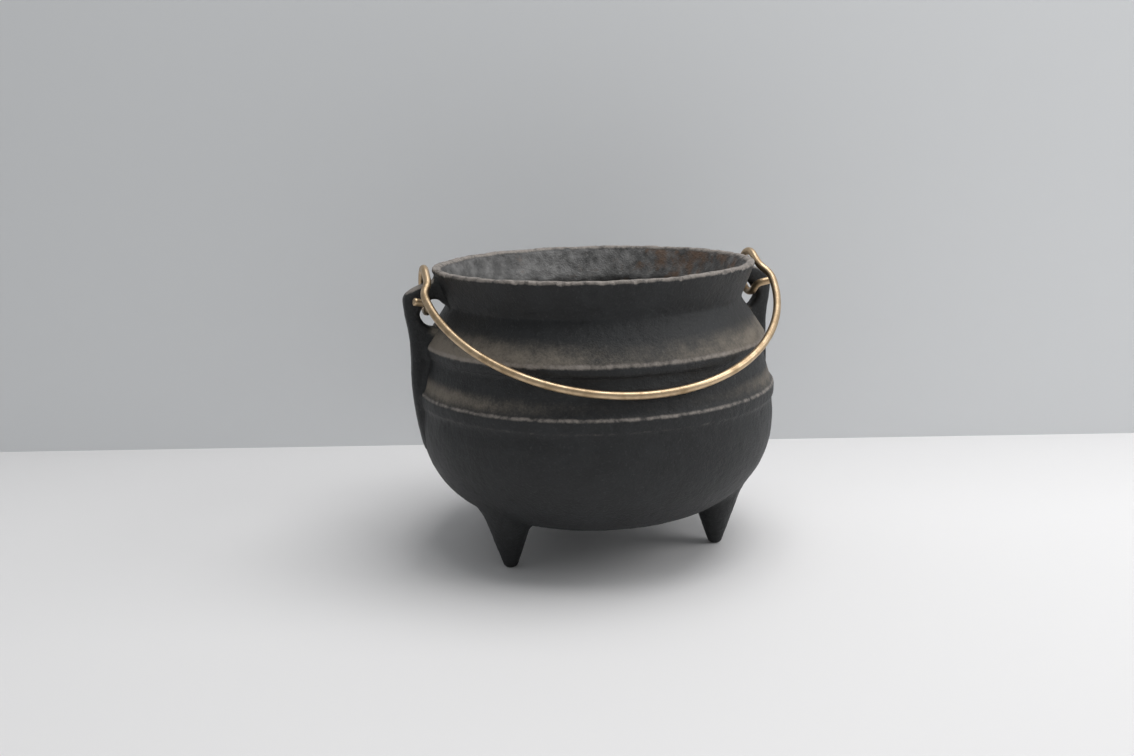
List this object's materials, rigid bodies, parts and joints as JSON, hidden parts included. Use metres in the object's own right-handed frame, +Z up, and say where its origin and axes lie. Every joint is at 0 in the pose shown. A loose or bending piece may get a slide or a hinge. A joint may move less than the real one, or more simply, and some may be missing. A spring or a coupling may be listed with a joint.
{
  "type": "three-footed cast iron cauldron",
  "caption": "Round-bellied cast iron cooking cauldron with a flared collar, raised ridges, pierced ears, tapered feet and a swinging brass wire bail, for standing or hanging over a fire.",
  "frame": {"origin": "on the floor, under the centre of the pot: the pot's axis is the Z axis and the three foot tips stand on z = 0", "axes": "+Z up along the pot's axis; +X through the right ear, so the bail turns about the X direction; -Y is the front, where the bail hangs at rest"},
  "size_m": [0.2004, 0.1893, 0.154],
  "materials": {
    "iron": "matt black, as cast, worn brown-grey on the lip and ridges",
    "brass": "satin, lightly tarnished"
  },
  "bodies": {
    "pot": {"pot_bowl": "iron", "left_ear": "iron", "right_ear": "iron", "front_left_foot": "iron", "front_right_foot": "iron", "back_foot": "iron"},
    "bail": {"bail": "brass"}
  },
  "joints": [
    {"name": "bail_swing", "type": "hinge", "parent": "pot", "child": "bail", "pos_m": [0, 0, 0.141], "axis": [-1, 0, 0], "range_deg": [0, 227]}
  ]
}
